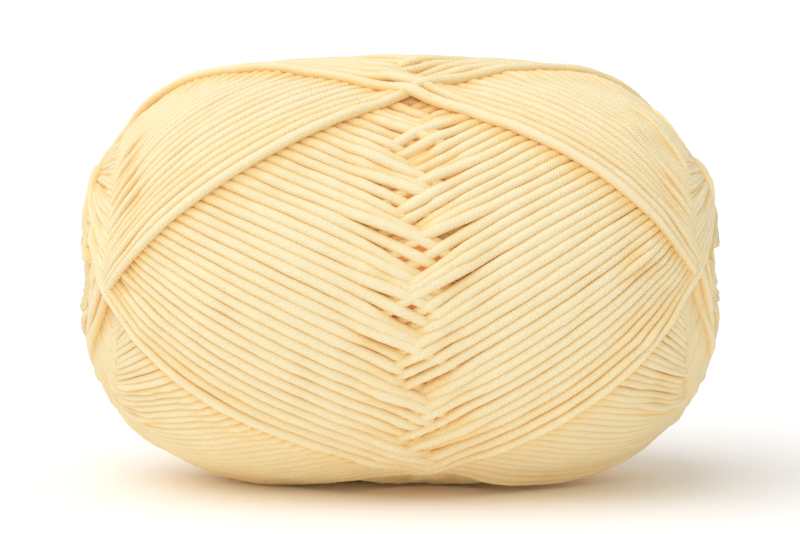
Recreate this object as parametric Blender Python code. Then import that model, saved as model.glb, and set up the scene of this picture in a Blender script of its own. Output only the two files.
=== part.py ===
"""A machine-wound ball of knitting yarn, lying on its side, as one solid.

The ball is a round-cornered body turned about its long axis, X. Its relief is that of the winding: every turn
of yarn runs from end to end and back, and the turns step round the ball, so that they leave eye-shaped panels
with a V of strands in each. The bottom is pressed flat where the ball rests, and the origin is at its middle.
"""

import math

import bmesh
import bpy
from mathutils import Vector

MM = 0.001

# The wound body
BALL_LENGTH = 126.0 * MM
BALL_DIAMETER = 85.0 * MM
CORNER_POWER = 2.85  # 2 would be an ellipse; higher is squarer
PROFILE_STEPS = 46  # from one end to the other
ROUND_STEPS = 90

# The soft hollow that the winding leaves in each end
DIMPLE_RADIUS = 6.0 * MM
DIMPLE_DEPTH = 4.0 * MM

# The winding
PANELS = 3
APEX_ANGLE = math.radians(23.5)  # how near a turn comes to the axis, seen from the ball's middle
NEWEST_EDGE = math.radians(60.0)  # where the last turn crosses the girth, above the front
TWIST = math.radians(4.5)  # the pattern's lean from the middle to an end
FAMILY_OFFSET = math.radians(4.3)  # between outward and homeward strands, which puts the V off the middle
EDGE_SHARE = 0.06  # the part of a panel over which the newest strands drop to the oldest
PANEL_STEP = 1.5 * MM  # how proud the newest strands stand of the oldest
BUNDLES = 8  # ridges of strands in a panel
BUNDLE_HEIGHT = 0.35 * MM
FADE_START = 0.40  # sine of the end angle where the relief starts
FADE_END = 0.66  # and where it is whole

# Where the ball rests, its strands are pressed smooth
FLAT_DEPTH = 1.1 * MM
SMOOTH_HEIGHT = 4.0 * MM

YARN_COLOUR = (0.965, 0.85, 0.56, 1.0)
YARN_ROUGHNESS = 0.9

PANEL_ANGLE = 2.0 * math.pi / PANELS
MERGE_DISTANCE = 0.001 * MM


def profile_point(end_angle):
    """Place along the axis and radius, for an angle of 0 at the -X end and pi at the +X end."""
    along = -math.cos(end_angle)
    across = math.sin(end_angle)
    power_sum = abs(along) ** CORNER_POWER + abs(across) ** CORNER_POWER
    scale = power_sum ** (-1.0 / CORNER_POWER)
    x = BALL_LENGTH / 2.0 * along * scale
    radius = BALL_DIAMETER / 2.0 * across * scale
    if radius < DIMPLE_RADIUS:
        hollow = 0.5 + 0.5 * math.cos(math.pi * radius / DIMPLE_RADIUS)
        x -= math.copysign(DIMPLE_DEPTH * hollow, x)
    return x, radius


def sweep_from_end(end_angle):
    """How far round the ball an outward strand has turned since it left the -X end."""
    stroke = math.cos(end_angle) / math.cos(APEX_ANGLE)
    turn = math.acos(min(max(stroke, -1.0), 1.0))
    flyer = math.atan2(math.sin(turn), math.sin(APEX_ANGLE) * math.cos(turn))
    return flyer + turn / PANELS - FAMILY_OFFSET / 2.0 * math.sin(turn)


def newness(girth_angle):
    """0 for a panel's oldest strand and 1 for its newest, by the angle where the strand crosses the girth."""
    share = (NEWEST_EDGE - girth_angle) / PANEL_ANGLE % 1.0
    if share < 1.0 - EDGE_SHARE:
        return share / (1.0 - EDGE_SHARE)
    return (1.0 - share) / EDGE_SHARE


def smooth_step(low, high, value):
    share = min(max((value - low) / (high - low), 0.0), 1.0)
    return share * share * (3.0 - 2.0 * share)


def relief(end_angle, round_angle):
    """How far the wound surface stands out from the plain turned body."""
    lean = -TWIST * math.cos(end_angle)
    middle_sweep = math.pi / 2.0 * (1.0 + 1.0 / PANELS)
    sweep = sweep_from_end(end_angle) - middle_sweep
    outward = newness(round_angle - lean - sweep)
    homeward = newness(round_angle - lean + sweep)
    steps = PANEL_STEP * (outward + homeward - 1.0)
    ridges = BUNDLE_HEIGHT * math.cos(2.0 * math.pi * BUNDLES * max(outward, homeward))
    return (steps + ridges) * smooth_step(FADE_START, FADE_END, math.sin(end_angle))


def turned_body(mesh):
    """The profile, from one end to the other, spun about X."""
    profile = []
    for step in range(PROFILE_STEPS + 1):
        x, radius = profile_point(math.pi * step / PROFILE_STEPS)
        profile.append(mesh.verts.new((x, -radius, 0.0)))
    edges = [mesh.edges.new(pair) for pair in zip(profile, profile[1:])]
    bmesh.ops.spin(
        mesh,
        geom=profile + edges,
        cent=(0.0, 0.0, 0.0),
        axis=(1.0, 0.0, 0.0),
        angle=2.0 * math.pi,
        steps=ROUND_STEPS,
        use_merge=True,
    )
    bmesh.ops.remove_doubles(mesh, verts=mesh.verts, dist=MERGE_DISTANCE)
    bmesh.ops.recalc_face_normals(mesh, faces=mesh.faces)


def raise_winding(mesh):
    """Moves each point out along its normal by the relief at its place."""
    moves = []
    for vert in mesh.verts:
        radius = math.hypot(vert.co.y, vert.co.z)
        if radius < DIMPLE_RADIUS:
            continue
        end_angle = math.atan2(radius / BALL_DIAMETER, -vert.co.x / BALL_LENGTH)
        round_angle = math.atan2(vert.co.z, -vert.co.y)
        height = vert.co.z + BALL_DIAMETER / 2.0
        pressed = smooth_step(0.0, SMOOTH_HEIGHT, height)
        moves.append((vert, vert.normal * relief(end_angle, round_angle) * pressed))
    for vert, move in moves:
        vert.co += move


def press_flat(mesh):
    """Cuts the bottom off level and closes the cut with one flat face."""
    bmesh.ops.bisect_plane(
        mesh,
        geom=mesh.verts[:] + mesh.edges[:] + mesh.faces[:],
        plane_co=(0.0, 0.0, FLAT_DEPTH - BALL_DIAMETER / 2.0),
        plane_no=(0.0, 0.0, -1.0),
        clear_outer=True,
        dist=MERGE_DISTANCE,
    )
    rim = [edge for edge in mesh.edges if edge.is_boundary]
    bmesh.ops.edgeloop_fill(mesh, edges=rim)


def centre_on_flat(mesh):
    """Puts the origin on the flat face, under the middle of the ball."""
    middle = []
    for axis in range(3):
        places = [vert.co[axis] for vert in mesh.verts]
        middle.append((min(places) + max(places)) / 2.0)
    lowest = min(vert.co.z for vert in mesh.verts)
    bmesh.ops.translate(mesh, verts=mesh.verts, vec=Vector((-middle[0], -middle[1], -lowest)))


def yarn_material():
    material = bpy.data.materials.new("cream_yarn")
    material.use_nodes = True
    shader = material.node_tree.nodes["Principled BSDF"]
    shader.inputs["Base Color"].default_value = YARN_COLOUR
    shader.inputs["Roughness"].default_value = YARN_ROUGHNESS
    shader.inputs["Metallic"].default_value = 0.0
    return material


def yarn_ball():
    mesh = bmesh.new()
    turned_body(mesh)
    raise_winding(mesh)
    press_flat(mesh)
    centre_on_flat(mesh)
    bmesh.ops.recalc_face_normals(mesh, faces=mesh.faces)
    data = bpy.data.meshes.new("yarn_ball")
    mesh.to_mesh(data)
    mesh.free()
    data.shade_smooth()
    data.materials.append(yarn_material())
    ball = bpy.data.objects.new("yarn_ball", data)
    bpy.context.scene.collection.objects.link(ball)
    return ball


for item in list(bpy.data.objects):
    bpy.data.objects.remove(item)
yarn_ball()
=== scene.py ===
import math

import bmesh
import bpy
import numpy as np
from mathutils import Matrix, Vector


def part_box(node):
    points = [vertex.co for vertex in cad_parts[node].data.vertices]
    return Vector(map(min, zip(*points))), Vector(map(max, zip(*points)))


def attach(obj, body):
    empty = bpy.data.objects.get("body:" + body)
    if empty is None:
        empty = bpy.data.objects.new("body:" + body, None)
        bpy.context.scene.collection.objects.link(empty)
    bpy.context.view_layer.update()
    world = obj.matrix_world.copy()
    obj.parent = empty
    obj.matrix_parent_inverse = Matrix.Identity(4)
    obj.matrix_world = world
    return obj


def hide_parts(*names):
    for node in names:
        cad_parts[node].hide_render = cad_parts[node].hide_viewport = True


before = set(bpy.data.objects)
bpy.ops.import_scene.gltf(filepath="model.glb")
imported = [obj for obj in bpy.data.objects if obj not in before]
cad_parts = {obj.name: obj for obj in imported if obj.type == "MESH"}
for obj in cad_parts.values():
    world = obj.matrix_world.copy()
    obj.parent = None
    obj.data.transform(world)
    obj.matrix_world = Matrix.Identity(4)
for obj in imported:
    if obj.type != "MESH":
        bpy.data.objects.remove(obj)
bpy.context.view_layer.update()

mm = 0.001
boxLow, boxHigh = (np.array(corner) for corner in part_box("yarn_ball"))
random = np.random.default_rng(2150)
print("frame: the ball's box is", np.round((boxHigh - boxLow) / mm, 1), "mm")


def linear(hexColour):
    # sRGB hex to the linear values a shader takes
    parts = [int(hexColour[i:i + 2], 16) / 255 for i in (1, 3, 5)]
    return [p / 12.92 if p <= 0.04045 else ((p + 0.055) / 1.055) ** 2.4 for p in parts] + [1.0]


def addNode(tree, kind, settings=None, links=None, values=None):
    # settings are the node's own, links are (input, from socket), and values are its unlinked inputs
    node = tree.nodes.new(kind)
    for name, value in (settings or {}).items():
        setattr(node, name, value)
    for name, value in (values or {}).items():
        node.inputs[name].default_value = value
    for name, socket in (links or {}).items():
        tree.links.new(socket, node.inputs[name])
    return node


def newMaterial(name, values):
    material = bpy.data.materials.new(name)
    material.use_nodes = True
    shader = material.node_tree.nodes["Principled BSDF"]
    for socket, value in values.items():
        shader.inputs[socket].default_value = value
    return material, shader


def newObject(name, data):
    made = bpy.data.objects.new(name, data)
    bpy.context.scene.collection.objects.link(made)
    return made


def newMesh(name, shape):
    mesh = bpy.data.meshes.new(name)
    shape.to_mesh(mesh)
    shape.free()
    return mesh


# the yarn as it is wound: all lengths in mm, as the whole laying is worked out in mm
yarn = dict(
    width=2.2,  # across a strand as it is laid, in the ball's surface
    fullness=1.09,  # it then spreads against its neighbours
    height=2.05,  # through a strand, pressed by its neighbours
    squash=0.76,  # the share of that height that counts where strands cross
    restShare=0.2,  # of its width, to each side of its middle, that rests on the strands below
    topShare=0.86,  # of its half width, to each side, that carries the strands above
    bendRadius=10.0,  # how tightly it bends over another strand
    bendReach=6.0,  # how far along it a bump is felt
    step=0.45,  # between the points of its path
    coverDepth=3.0,  # of the pile that one cover adds
    mostProud=0.9,  # a strand's middle over the body
    endProud=0.2,  # the same near the ends
    endStart=36,  # from the middle of the ball, where strands begin to lie closer
    endRun=14,  # and how far it takes them
    narrowest=0.62,  # of its width, where its neighbours crowd it
    leastRoom=0.2,  # of its width, for the sums where they crowd most
    unevenness=0.035,  # of its width, from place to place
    unevenPoints=17,  # points of the path over which that changes
    tuckSteps=30,  # the last end goes under the turns beside it
    tuckDepth=3.5,
    softness=0.35,  # how gently the strands underneath flatten
    shadeReach=1.3,  # how far round a point the strands over it are looked for
    deepest=3.0,  # the gap depth at which the colour is at its deepest
)

winding = dict(
    panels=3,
    turnsPerCover=110,  # turns in which both families of strands cover the ball once
    apexAngle=math.radians(23.5),  # sets the slope of the strands
    coverApex=[math.radians(a) for a in (9.0, 15.5, 23.5)],  # how near each cover comes to the axis
    apexScatter=math.radians(0.3),
    newestEdge=math.radians(60.0),  # where the last strands cross on the girth, above the front
    twist=math.radians(4.5),  # the pattern's lean from end to end
    panelStep=0.75,  # the share of a strand by which the newest ones stand proud
    wander=0.025,  # of a strand's spacing, everywhere
    girthWander=0.13,  # of a strand's spacing, only where the two families meet
    girthWidth=8.5,  # mm to each side in which that fades out
    girthOffset=math.radians(4.3),  # between the families: the braid runs a little to one side of the middle
    braidPlace=3.2,  # mm to the +X side of the middle
    braidPull=0.36,  # of a spacing from strand to strand, where the families braid
    braidPullSpread=(0.7, 1.3),
    braidSmooth=7,  # strands: any slower lean than this is taken out
    braidGroups=[2, 2, 3],  # strands that lean over the other family together
    braidLead=7.5,  # strokes by which one family runs ahead of the other
    braidLeadSpread=(0.7, 1.0),
    braidStrokes=[13, 24],  # before the other does
    braidReach=42.0,  # mm from the middle, past which the families take strict turns
    braidFade=12.0,  # mm over which the braid changes to strict turns
)

# the body that the strands lie on: the CAD box, less what the relief stands proud
body = dict(
    halfLength=(boxHigh[0] - boxLow[0]) / 2 / mm - 1.2,
    radius=(boxHigh[1] - boxLow[1]) / 2 / mm - 1.0,
    axisHeight=(boxHigh[2] - boxLow[2]) / mm - 42.5 - 1.0,  # the top, less the plain ball's radius and relief
    cornerPower=3.02,  # 2 would be an ellipse; higher is squarer
    dimpleRadius=6.0,
    dimpleDepth=4.0,
    leastRadius=2.0,  # for the sums near the axis
    profilePoints=4001,
)


def profileTable():
    # x, radius, arc length and outward normal of the turned body, from the -X end to the +X end
    power = body["cornerPower"]
    angle = np.linspace(0.0, np.pi, body["profilePoints"])
    along, across = -np.cos(angle), np.sin(angle)
    scale = (np.abs(along) ** power + np.abs(across) ** power) ** (-1 / power)
    x = body["halfLength"] * along * scale
    r = body["radius"] * across * scale
    hollow = 0.5 + 0.5 * np.cos(np.pi * np.minimum(r / body["dimpleRadius"], 1.0))
    x = x - np.sign(x) * body["dimpleDepth"] * hollow
    s = np.concatenate([[0.0], np.cumsum(np.hypot(np.diff(x), np.diff(r)))])
    tx, tr = np.gradient(x, s), np.gradient(r, s)
    return dict(angle=angle, x=x, r=r, s=s, nx=-tr, nr=tx)


profile = profileTable()


def atAngle(name, angle):
    return np.interp(angle, profile["angle"], profile[name])


def atArc(name, s):
    return np.interp(s, profile["s"], profile[name])


def between(values, place):
    # smooth values between random ones at whole numbers
    low = np.floor(place).astype(int)
    share = 0.5 - 0.5 * np.cos(np.pi * (place - low))
    return values[low] * (1 - share) + values[low + 1] * share


def smoothed(values, cells):
    kernel = np.hanning(cells + 2)[1:-1]
    kernel /= kernel.sum()
    return np.convolve(np.pad(values, cells // 2, "edge"), kernel, "valid")


# a stroke is half a turn: the yarn's way from one end of the ball to the other
covers = len(winding["coverApex"])
turns = winding["turnsPerCover"] * covers
strokes = 2 * turns
strokeSteps = 400
overlap = 24  # steps that a stroke's path shares with the strokes before and after it
kept = slice(overlap, overlap + strokeSteps)
panelAngle = 2 * np.pi / winding["panels"]
spacing = 2 * np.pi / winding["turnsPerCover"]

knots = strokes + 3  # the random values, one for each end of each stroke
coverOfStroke = np.minimum(np.arange(knots) // (2 * winding["turnsPerCover"]), covers - 1)


def braid():
    # where the two families meet, each leans over the other for two or three strands, then the other
    # over it; strands that lie side by side are as many turns apart as there are panels
    lean = np.zeros(knots)
    for panel in range(winding["panels"]):
        count = len(range(2 * panel, knots, 2 * winding["panels"]))
        steps = np.zeros(count)
        at, side = 0, 1
        while at < count:
            size = random.choice(winding["braidGroups"])
            steps[at:at + size] = side * random.uniform(*winding["braidPullSpread"])
            at, side = at + size, -side
        wave = np.cumsum(steps) * winding["braidPull"]
        wave -= smoothed(wave, winding["braidSmooth"])
        for family, sign in ((0, -1), (1, 1)):
            members = np.arange(2 * panel + family, knots, 2 * winding["panels"])
            lean[members] = sign * wave[:len(members)]
    return lean * spacing


apexOfStroke = np.array(winding["coverApex"])[coverOfStroke]
chance = dict(
    apex=apexOfStroke + winding["apexScatter"] * random.standard_normal(knots),
    wander=winding["wander"] * spacing * random.standard_normal(knots),
    girth=winding["girthWander"] * spacing * random.standard_normal(knots) + braid(),
)


def sweep(turn):
    # how far round the ball the yarn has gone, with turn growing by 2 pi for each turn
    whole = np.floor(turn / (2 * np.pi))
    part = turn - whole * 2 * np.pi
    flyer = np.arctan2(np.sin(part), math.sin(winding["apexAngle"]) * np.cos(part)) % (2 * np.pi)
    return whole * 2 * np.pi + flyer + turn / winding["panels"]


def pathOf(turn):
    # end angle and round angle for every point of the yarn
    stroke = turn / np.pi
    apex = between(chance["apex"], stroke)
    endAngle = np.arccos(np.cos(apex) * np.cos(turn))
    drift = -panelAngle / winding["turnsPerCover"] * (turn / (2 * np.pi) - turns)
    start = winding["newestEdge"] - sweep(np.array(np.pi / 2))
    x = atAngle("x", endAngle)
    nearest = np.floor(stroke).astype(int)
    nearGirth = np.exp(-(((x - winding["braidPlace"]) / winding["girthWidth"]) ** 2))
    roundAngle = start + sweep(turn) + drift + winding["twist"] * x / body["halfLength"]
    roundAngle += between(chance["wander"], stroke) + chance["girth"][nearest] * nearGirth
    roundAngle -= winding["girthOffset"] / 2 * np.sin(turn)
    return endAngle, roundAngle


# heights over the body are kept on a chart of arc length and round angle
arcCells, roundCells = 420, 640
arcLength = profile["s"][-1]
growthCells = 7  # over which the ball's growth is evened out
leastGrowth, leastPress = 0.1, 0.03  # which keep the pressing within reason
topPoints = np.linspace(-yarn["topShare"], yarn["topShare"], 7)  # across a strand


def cellsAt(s, roundAngle):
    row = s / arcLength * (arcCells - 1)
    column = roundAngle / (2 * np.pi) * roundCells
    return np.clip(np.rint(row).astype(int), 0, arcCells - 1), np.rint(column).astype(int) % roundCells


def cellsBeside(path, offset):
    # the cells that lie this many mm to one side of a path
    s = path["s"] - offset * path["alongR"]
    roundAngle = path["roundAngle"] + offset * path["alongS"] / path["r"]
    return cellsAt(s, roundAngle)


def age(girthAngle):
    # of the strand that crosses the girth here: 0 for the newest, 1 for the oldest
    return ((girthAngle - winding["newestEdge"]) / panelAngle) % 1.0


def startingChart():
    # the turns further in leave the same panels as those that are laid
    cellArc = np.linspace(0, arcLength, arcCells)
    cellRound = np.arange(roundCells) * 2 * np.pi / roundCells
    endAngle = np.interp(cellArc, profile["s"], profile["angle"])
    turn = np.arccos(np.clip(np.cos(endAngle) / math.cos(winding["apexAngle"]), -1, 1))
    swept = sweep(turn) - sweep(np.array(np.pi / 2)) - winding["girthOffset"] / 2 * np.sin(turn)
    lean = winding["twist"] * atArc("x", cellArc) / body["halfLength"]
    here = cellRound[None, :] - lean[:, None]
    chart = -winding["panelStep"] * yarn["height"] * (age(here - swept[:, None]) + age(here + swept[:, None]))
    return chart - chart.mean(axis=1, keepdims=True)


def closing(height, step):
    # the line that a taut strand takes over bumps: it bends no tighter than bendRadius
    reach = int(yarn["bendReach"] / step)
    shifts = range(-reach, reach + 1)
    lift = [(k * step) ** 2 / (2 * yarn["bendRadius"]) for k in shifts]
    up = np.max([np.roll(height, k) - l for k, l in zip(shifts, lift)], axis=0)
    return np.min([np.roll(up, k) + l for k, l in zip(shifts, lift)], axis=0)


def strokePath(stroke):
    # one stroke of the yarn, and a little of the strokes before and after it
    turn = np.pi * (stroke + np.arange(-overlap, strokeSteps + overlap) / strokeSteps)
    endAngle, roundAngle = pathOf(np.clip(turn, 0, np.pi * strokes))
    s = atAngle("s", endAngle)
    r = np.maximum(atAngle("r", endAngle), body["leastRadius"])
    ds, dr = np.gradient(s), r * np.gradient(roundAngle)
    length = np.maximum(np.hypot(ds, dr), 1e-6)
    alongS, alongR = ds / length, dr / length
    room = 2 * np.pi * r / winding["turnsPerCover"] * np.abs(alongS) / yarn["width"]
    crowd = np.clip(room, yarn["leastRoom"], 1.0)
    return dict(s=s, roundAngle=roundAngle, r=r, alongS=alongS, alongR=alongR, crowd=crowd)


def layStrokes(order):
    # lays the yarn stroke by stroke on what is there, and lets the ball sink back to its outer form
    # as it grows
    chart = startingChart()
    halfHeight = yarn["height"] / 2 * yarn["squash"]
    resting = np.linspace(-yarn["restShare"], yarn["restShare"], 3) * yarn["width"]
    evening = np.array([1, 3, 5, 6, 5, 3, 1]) / 24  # a taut strand has no kinks
    hold = 1.5  # a stroke starts at the height where the last one ended, and then finds its own
    carryShare = np.clip(hold - hold * np.arange(overlap) / overlap, 0, 1)
    carried, carriedStroke = None, None
    growth = np.zeros((strokes, arcCells))
    height = np.zeros((strokes, strokeSteps))
    for place, stroke in enumerate(order):
        path = paths[stroke]
        under = []
        for offset in resting:
            belly = halfHeight * math.sqrt(1 - (2 * offset / yarn["width"]) ** 2)
            under.append(chart[cellsBeside(path, offset * path["crowd"])] + belly)
        lying = closing(np.max(under, axis=0), yarn["step"])
        lying = np.convolve(np.pad(lying, len(evening) // 2, "edge"), evening, "valid")
        if carriedStroke is not None and carriedStroke == stroke - 1:
            start = slice(overlap, 2 * overlap)
            lying[start] = carried * carryShare + lying[start] * (1 - carryShare)
        for q in topPoints:
            rows, columns = cellsBeside(path, q * yarn["width"] / 2 * path["crowd"])
            top = lying[kept] + halfHeight * math.sqrt(1 - q * q)
            np.maximum.at(chart, (rows[kept], columns[kept]), top)
        height[stroke] = lying[kept]
        growth[place] = chart.mean(axis=1)
        chart -= growth[place][:, None]
        lastRows = cellsBeside(path, 0.0)[0][-overlap:]
        carried, carriedStroke = lying[-overlap:] - growth[place][lastRows], stroke
    return height, growth


def settledHeight(order):
    # each cover is pressed to one depth: the pile is deepest at the ends, where the strokes crowd
    height, growth = layStrokes(order)
    byCover = growth.reshape(covers, -1, arcCells)
    coverGrowth = np.array([smoothed(cover.sum(axis=0), growthCells) for cover in byCover])
    press = np.clip(yarn["coverDepth"] / np.maximum(coverGrowth, leastGrowth), leastPress, 1.0)
    press = np.array([smoothed(cover, growthCells) for cover in press])
    sinking = (byCover * press[:, None, :]).reshape(strokes, arcCells)
    below = np.vstack([np.cumsum(sinking[::-1], axis=0)[::-1], np.zeros(arcCells)])
    cell = np.arange(arcCells)
    settled = np.zeros_like(height)
    for place, stroke in enumerate(order):
        s = paths[stroke]["s"][kept]
        row = s / arcLength * (arcCells - 1)
        localPress = np.interp(row, cell, press[place * covers // strokes])
        proud = height[stroke] * localPress - yarn["height"] / 2
        nearEnd = np.clip((np.abs(atArc("x", s)) - yarn["endStart"]) / yarn["endRun"], 0, 1)
        limit = yarn["mostProud"] + (yarn["endProud"] - yarn["mostProud"]) * nearEnd
        proud = np.where(proud > 0, limit * np.tanh(proud / limit), proud)
        settled[stroke] = proud - np.interp(row, cell, below[place + 1])
    return settled


def braidOrder():
    # towards the middle the two families don't take strict turns: one runs ahead for some strands,
    # then the other
    changes, leads = [0.0], [0.0]
    side = 1
    while changes[-1] < strokes:
        changes.append(changes[-1] + random.uniform(*winding["braidStrokes"]))
        leads.append(side * random.uniform(*winding["braidLeadSpread"]) * winding["braidLead"])
        side = -side
    number = np.arange(strokes)
    lead = np.interp(number, changes, leads)
    return np.argsort(number + np.where(number % 2, lead, -lead), kind="stable")


def nearMiddle(x):
    # 1 where the families braid, 0 towards the ends, where they take strict turns
    return np.clip((winding["braidReach"] - np.abs(x)) / winding["braidFade"], 0, 1)


print("laying", turns, "turns of yarn")
paths = [strokePath(stroke) for stroke in range(strokes)]
laid = {name: np.concatenate([path[name][kept] for path in paths]) for name in paths[0]}
inTurn = settledHeight(np.arange(strokes)).ravel()
braided = settledHeight(braidOrder()).ravel()
braidShare = nearMiddle(atArc("x", laid["s"]))
finalHeight = inTurn * (1 - braidShare) + braided * braidShare
tuck = np.clip(1 - np.arange(yarn["tuckSteps"])[::-1] / yarn["tuckSteps"], 0, 1)
finalHeight[-yarn["tuckSteps"]:] -= yarn["tuckDepth"] * tuck ** 2
print("laid: the middle of the highest strand is", round(finalHeight.max(), 2), "mm over the body")


def surfacePoint(s, roundAngle, height):
    # place and outward normal, in mm
    x, r = atArc("x", s), atArc("r", s)
    nx, nr = atArc("nx", s), atArc("nr", s)
    size = np.hypot(nx, nr)
    nx, nr = nx / size, nr / size
    normal = np.stack([nx, -nr * np.cos(roundAngle), nr * np.sin(roundAngle)], axis=1)
    place = np.stack([x, -r * np.cos(roundAngle), r * np.sin(roundAngle)], axis=1)
    place[:, 2] += body["axisHeight"]
    return place + normal * height[:, None], normal


centres, normals = surfacePoint(laid["s"], laid["roundAngle"], finalHeight)
unevenPoints = yarn["unevenPoints"]
thickness = smoothed(random.standard_normal(len(centres)), unevenPoints) * unevenPoints ** 0.5
thickness = 1 + yarn["unevenness"] * thickness


def outerChart():
    # how high the strands round each place reach, so that each point knows how deep in the gaps it lies,
    # which sets its painted shade
    chart = np.full((arcCells, roundCells), -9.0)  # lower than any strand
    for q in topPoints:
        top = finalHeight + yarn["height"] / 2 * math.sqrt(1 - q * q)
        np.maximum.at(chart, cellsBeside(laid, q * yarn["width"] / 2 * laid["crowd"]), top)
    reach = round(yarn["shadeReach"] / (arcLength / arcCells))
    for combine in (np.max, np.mean):
        for axis in (0, 1):
            chart = combine([np.roll(chart, k, axis) for k in range(-reach, reach + 1)], axis=0)
    return chart


outerHeight = outerChart()


def pointsOf(mesh):
    # its vertices, in mm
    flat = np.empty(len(mesh.vertices) * 3)
    mesh.vertices.foreach_get("co", flat)
    return flat.reshape(-1, 3) / mm


def addPaintedShadeDepth(mesh):
    # each vertex keeps how deep among the strands it lies: 0 on the outermost strands, 1 in the deepest gaps;
    # the yarn's colour turns this into painted shade
    points = pointsOf(mesh)
    x, y, z = points[:, 0], points[:, 1], points[:, 2] - body["axisHeight"]
    r = np.hypot(y, z)
    s = atAngle("s", np.arctan2(r / body["radius"], -x / body["halfLength"]))
    roundAngle = np.arctan2(z, -y)
    place, normal = surfacePoint(s, roundAngle, np.zeros(len(s)))
    height = ((points - place) * normal).sum(axis=1)
    depth = np.clip((outerHeight[cellsAt(s, roundAngle)] - height) / yarn["deepest"], 0, 1)
    paintedGapShade = mesh.attributes.new("paintedGapShade", "FLOAT", "POINT")
    paintedGapShade.data.foreach_set("value", depth)


def pressedFlat(z):
    # what would hang below the surface it rests on is pressed up to it
    return 0.5 * (z + np.sqrt(z * z + yarn["softness"] * yarn["softness"]))


def roundYarn(name, centre, resolution):
    # a stretch of yarn as a bevelled curve turned to a mesh, still round
    curve = bpy.data.curves.new(name, "CURVE")
    curve.dimensions = "3D"
    curve.bevel_depth = yarn["width"] * yarn["fullness"] / 2 * mm
    curve.bevel_resolution = resolution
    spline = curve.splines.new("POLY")
    spline.points.add(len(centre) - 1)
    spline.points.foreach_set("co", np.column_stack([centre * mm, np.ones(len(centre))]).ravel())
    holder = newObject(name, curve)
    graph = bpy.context.evaluated_depsgraph_get()
    mesh = bpy.data.meshes.new_from_object(holder.evaluated_get(graph))
    bpy.data.objects.remove(holder)
    bpy.data.curves.remove(curve)
    mesh.name = name
    return mesh


def pressYarn(mesh, centre, up, crowd, thick):
    # flattens it against its neighbours, narrows it where they crowd it, and presses it up to the surface
    # it rests on
    away = pointsOf(mesh).reshape(len(centre), -1, 3) - centre[:, None, :]
    up = up[:, None, :]
    rise = (away * up).sum(axis=2, keepdims=True)
    narrow = np.maximum(crowd, yarn["narrowest"])[:, None, None]
    flatness = yarn["height"] / (yarn["width"] * yarn["fullness"])
    section = (away - up * rise) * narrow + up * rise * flatness
    points = centre[:, None, :] + section * thick[:, None, None]
    points[:, :, 2] = pressedFlat(points[:, :, 2])
    mesh.vertices.foreach_set("co", (points * mm).ravel())
    mesh.update()


def measureAlong(mesh, length):
    # the curve's own UV runs from 0 to 1 along the yarn: this makes it run in mm
    layer = mesh.uv_layers["UVMap"].data
    uv = np.empty(len(layer) * 2)
    layer.foreach_get("uv", uv)
    uv[::2] *= length
    layer.foreach_set("uv", uv)


def closeEnds(mesh):
    shape = bmesh.new()
    shape.from_mesh(mesh)
    bmesh.ops.holes_fill(shape, edges=[edge for edge in shape.edges if edge.is_boundary])
    bmesh.ops.recalc_face_normals(shape, faces=shape.faces)
    shape.to_mesh(mesh)
    shape.free()


def strandPiece(name, centre, up, crowd, thick, resolution):
    mesh = roundYarn(name, centre, resolution)
    pressYarn(mesh, centre, up, crowd, thick)
    addPaintedShadeDepth(mesh)
    length = np.linalg.norm(np.diff(centre, axis=0), axis=1).sum()
    measureAlong(mesh, length)
    closeEnds(mesh)
    mesh.shade_smooth()
    print(name, round(length / 1000, 2), "m of yarn,", len(mesh.polygons), "faces")
    return newObject(name, mesh)


# a mesh needs only every few points of the path, and the inner covers hardly show
lengths = dict(outerPieces=4, outerStride=4, outerResolution=3, innerStride=9, innerResolution=1)


def laidPiece(name, first, last, stride, resolution):
    picked = np.minimum(np.arange(first, last + 1, stride), len(centres) - 1)
    crowd = laid["crowd"][picked]
    return strandPiece(name, centres[picked], normals[picked], crowd, thickness[picked], resolution)


perCover = winding["turnsPerCover"] * 2 * strokeSteps
perPiece = perCover // lengths["outerPieces"]
pieces = []
for part in range(lengths["outerPieces"]):
    first = perCover * (covers - 1) + part * perPiece
    pieces.append(laidPiece(f"yarn_outer_{part + 1}", first, first + perPiece,
                            lengths["outerStride"], lengths["outerResolution"]))
for cover in range(covers - 1):
    pieces.append(laidPiece(f"yarn_inner_{cover + 1}", perCover * cover, perCover * (cover + 1),
                            lengths["innerStride"], lengths["innerResolution"]))

hollow = dict(
    mouth=7.4,  # mm from the axis, where the coil starts
    floor=0.9,  # and where it ends
    start=1.5,  # mm in from the body's end
    depth=7.5,  # mm further in, where it ends
    turns=4.6,
    uneven=0.35,  # mm, as no machine lays it quite evenly
    roundWave=1.62,  # waves to a turn, in its distance from the axis
    deepWave=0.73,  # and in its depth
    lean=0.7,  # its strands lie as much against the hollow's side as against its floor
    points=420,
    resolution=2,
)


def hollowCoil(side):
    # the turns that line the hollow left by the winding spindle
    along = np.linspace(0, 1, hollow["points"])
    angle = 2 * np.pi * hollow["turns"] * along
    radius = hollow["mouth"] + (hollow["floor"] - hollow["mouth"]) * along
    radius += hollow["uneven"] * np.sin(angle * hollow["roundWave"] + side)
    depth = body["dimpleDepth"] + hollow["start"] + hollow["depth"] * along
    depth -= hollow["uneven"] * np.sin(angle * hollow["deepWave"])
    towards = np.stack([np.full_like(angle, side), np.cos(angle), -np.sin(angle)], axis=1)
    x = side * (body["halfLength"] - depth)
    centre = np.stack([x, -radius * np.cos(angle), body["axisHeight"] + radius * np.sin(angle)], axis=1)
    even = np.ones(len(angle))
    name = "hollow_coil_1" if side < 0 else "hollow_coil_2"
    return strandPiece(name, centre, hollow["lean"] * towards, even, even, hollow["resolution"])


pieces += [hollowCoil(side) for side in (-1, 1)]

heart = dict(
    depth=4.2,  # mm under the body
    middleDepth=2.8,  # where the two families braid, and gaps show it
    profileSteps=160,
    roundSteps=60,
    holeRadius=6.5,  # the hollow round the axis, where the winding spindle was
    holeDepth=12.0,
    holeSteps=12,
    mergeDistance=0.01,  # mm
)


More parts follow.
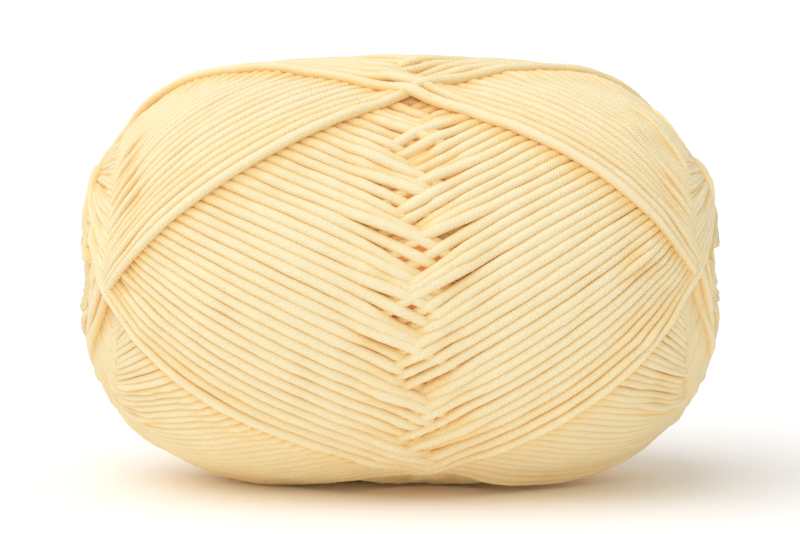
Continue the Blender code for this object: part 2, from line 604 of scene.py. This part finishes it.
def heartPiece():
    # the turns further in, which show only at the bottom of the deepest gaps
    angle = np.linspace(0.0, np.pi, heart["profileSteps"] + 1)
    shallow = nearMiddle(atAngle("x", angle))
    depth = heart["depth"] + (heart["middleDepth"] - heart["depth"]) * shallow
    outline, _ = surfacePoint(atAngle("s", angle), np.zeros(len(angle)), -depth)
    outline = outline[outline[:, 1] < -heart["holeRadius"]]
    rim = outline[0]
    tip = np.array([rim[0] + heart["holeDepth"], 0, rim[2]])
    share = np.linspace(0, 1, heart["holeSteps"] + 1)[:-1, None]
    cone = tip + (rim - tip) * share
    outline = np.vstack([cone, outline, (cone * [-1, 1, 1])[::-1]])
    shape = bmesh.new()
    verts = [shape.verts.new(point * mm) for point in outline]
    edges = [shape.edges.new(pair) for pair in zip(verts, verts[1:])]
    bmesh.ops.spin(shape, geom=verts + edges, cent=(0, 0, body["axisHeight"] * mm), axis=(1, 0, 0),
                   angle=2 * math.pi, steps=heart["roundSteps"], use_merge=True)
    bmesh.ops.remove_doubles(shape, verts=shape.verts, dist=heart["mergeDistance"] * mm)
    bmesh.ops.recalc_face_normals(shape, faces=shape.faces)
    mesh = newMesh("yarn_heart", shape)
    mesh.shade_smooth()
    return newObject("yarn_heart", mesh)


pieces.append(heartPiece())
print("made", len(pieces), "pieces")

plied = dict(
    # painted shade: the yarn is one cream, and these colours deepen it from crest to flank to the deepest
    # gaps in place of its shade
    crest="#fff0c6",  # on the outermost strands
    paintedFlankShade="#ffe1a2",  # between strands, and of the inner turns
    paintedGapShade="#ffdd98",  # in the deepest gaps
    colourPlaces=(0.03, 0.3, 0.85),  # of the gap's depth
    roughness=0.85,
    nap="#fff0c8",
    napWeight=0.35,
    napRoughness=0.4,
    plies=8,
    lay=0.55,  # mm along the yarn from one ply to the next
    relief=0.035,  # mm
    fibreLength=0.9,  # mm
    fibres=24,  # round the yarn: fewer than the real ones, which are too fine to show
    fuzz=4.0,  # the relief of the fibres against that of the plies
    # painted light: the inner turns glow faintly, for the light that soaks into the gaps
    paintedGlow="#ffd684",
    paintedGlowStrength=0.12,
)


def yarnMaterial():
    # cotton and acrylic, plied and lightly brushed: matt, with fine slanting plies and a short pale nap,
    # and a painted shade of deeper cream in the gaps, which stands for the light that soaks through the
    # strands
    material, shader = newMaterial("plied cotton and acrylic yarn", {
        "Roughness": plied["roughness"],
        "Sheen Weight": plied["napWeight"],
        "Sheen Roughness": plied["napRoughness"],
        "Sheen Tint": linear(plied["nap"]),
    })
    tree = material.node_tree
    # the painted shade, read from how deep among the strands each point lies
    paintedGapShade = addNode(tree, "ShaderNodeAttribute", dict(attribute_name="paintedGapShade"))
    paintedShadeRamp = addNode(tree, "ShaderNodeValToRGB", links=dict(Fac=paintedGapShade.outputs["Fac"]))
    stops = paintedShadeRamp.color_ramp.elements
    stops.new(0.5)
    for stop, place, colour in zip(stops, plied["colourPlaces"], ("crest", "paintedFlankShade", "paintedGapShade")):
        stop.position = place
        stop.color = linear(plied[colour])
    tree.links.new(paintedShadeRamp.outputs["Color"], shader.inputs["Base Color"])
    # the plies wind round the yarn as a slanting wave on its own UV, which runs in mm along it
    uv = addNode(tree, "ShaderNodeUVMap", dict(uv_map="UVMap"))
    place = addNode(tree, "ShaderNodeSeparateXYZ", links=dict(Vector=uv.outputs["UV"]))
    across = addNode(tree, "ShaderNodeMath", dict(operation="MULTIPLY"),
                     links={0: place.outputs["Y"]}, values={1: plied["plies"]})
    along = addNode(tree, "ShaderNodeMath", dict(operation="DIVIDE"),
                    links={0: place.outputs["X"]}, values={1: plied["lay"]})
    ply = addNode(tree, "ShaderNodeMath", dict(operation="ADD"),
                  links={0: across.outputs[0], 1: along.outputs[0]})
    phase = addNode(tree, "ShaderNodeMath", dict(operation="MULTIPLY"),
                    links={0: ply.outputs[0]}, values={1: 2 * math.pi})
    wave = addNode(tree, "ShaderNodeMath", dict(operation="SINE"), links={0: phase.outputs[0]})
    stretched = addNode(tree, "ShaderNodeMapping", links=dict(Vector=uv.outputs["UV"]),
                        values=dict(Scale=(1 / plied["fibreLength"], plied["fibres"], 1)))
    fibre = addNode(tree, "ShaderNodeTexNoise", links=dict(Vector=stretched.outputs["Vector"]),
                    values=dict(Scale=1.0, Detail=2.0, Roughness=0.6))
    fuzzy = addNode(tree, "ShaderNodeMath", dict(operation="MULTIPLY_ADD"),
                    links={0: fibre.outputs["Fac"], 2: wave.outputs[0]}, values={1: plied["fuzz"]})
    bump = addNode(tree, "ShaderNodeBump", links=dict(Height=fuzzy.outputs[0]),
                   values=dict(Strength=1.0, Distance=plied["relief"] * mm))
    tree.links.new(bump.outputs["Normal"], shader.inputs["Normal"])
    return material


def heartMaterial():
    # the same yarn further in: matt, with the strands' painted flank shade for its colour, and a faint
    # painted glow that stands for the light that soaks through the strands into the gaps
    material, _ = newMaterial("plied yarn of the inner turns", {
        "Base Color": linear(plied["paintedFlankShade"]),
        "Roughness": plied["roughness"],
        "Emission Color": linear(plied["paintedGlow"]),
        "Emission Strength": plied["paintedGlowStrength"],
    })
    return material


outerYarn, innerYarn = yarnMaterial(), heartMaterial()
for piece in pieces:
    piece.data.materials.append(innerYarn if piece.name == "yarn_heart" else outerYarn)
    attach(piece, "root")
    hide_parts("yarn_ball")
print("materials are on")

studio = dict(
    floorSize=30.0,  # m from its middle to its edge, so that no edge shows
    elevation=math.radians(7),
    distance=0.9,
    widthShown=0.1575,  # of the world at the ball, from side to side of the view
    sensor=36.0,  # mm
    worldStrength=0.65,
    keyStrength=1.55,
    keyAngle=math.radians(70),
    keyFrom=(-0.45, -0.22, 0.9),
    softBounces=12,  # light goes far between pale strands
    mostBounces=16,
)


def floorPlane():
    shape = bmesh.new()
    bmesh.ops.create_grid(shape, x_segments=1, y_segments=1, size=studio["floorSize"])
    floor = newObject("floor", newMesh("floor", shape))
    # uncoated paper: matt and white, so that it shows nothing but the ball's soft shadow
    paper, _ = newMaterial("white paper", {"Base Color": linear("#ffffff"), "Roughness": 0.9})
    floor.data.materials.append(paper)


def studioLight():
    world = bpy.data.worlds.new("studio")
    world.use_nodes = True
    world.node_tree.nodes["Background"].inputs["Color"].default_value = (1, 1, 1, 1)
    world.node_tree.nodes["Background"].inputs["Strength"].default_value = studio["worldStrength"]
    bpy.context.scene.world = world
    sun = bpy.data.lights.new("softbox", "SUN")
    sun.energy = studio["keyStrength"]
    sun.angle = studio["keyAngle"]
    softbox = newObject("softbox", sun)
    softbox.rotation_euler = Vector(studio["keyFrom"]).to_track_quat("Z", "Y").to_euler()


def studioCamera():
    scene = bpy.context.scene
    scene.view_settings.view_transform = "Standard"
    scene.cycles.diffuse_bounces = studio["softBounces"]
    scene.cycles.max_bounces = studio["mostBounces"]
    lens = bpy.data.cameras.new("camera")
    lens.sensor_width = studio["sensor"]
    lens.lens = studio["sensor"] * studio["distance"] / studio["widthShown"]
    camera = newObject("camera", lens)
    middle = Vector((0, 0, (boxLow[2] + boxHigh[2]) / 2))
    away = Vector((0, -math.cos(studio["elevation"]), math.sin(studio["elevation"]))) * studio["distance"]
    camera.location = middle + away
    camera.rotation_euler = (-away).to_track_quat("-Z", "Y").to_euler()
    scene.camera = camera


floorPlane()
studioLight()
studioCamera()
print("studio is set up")
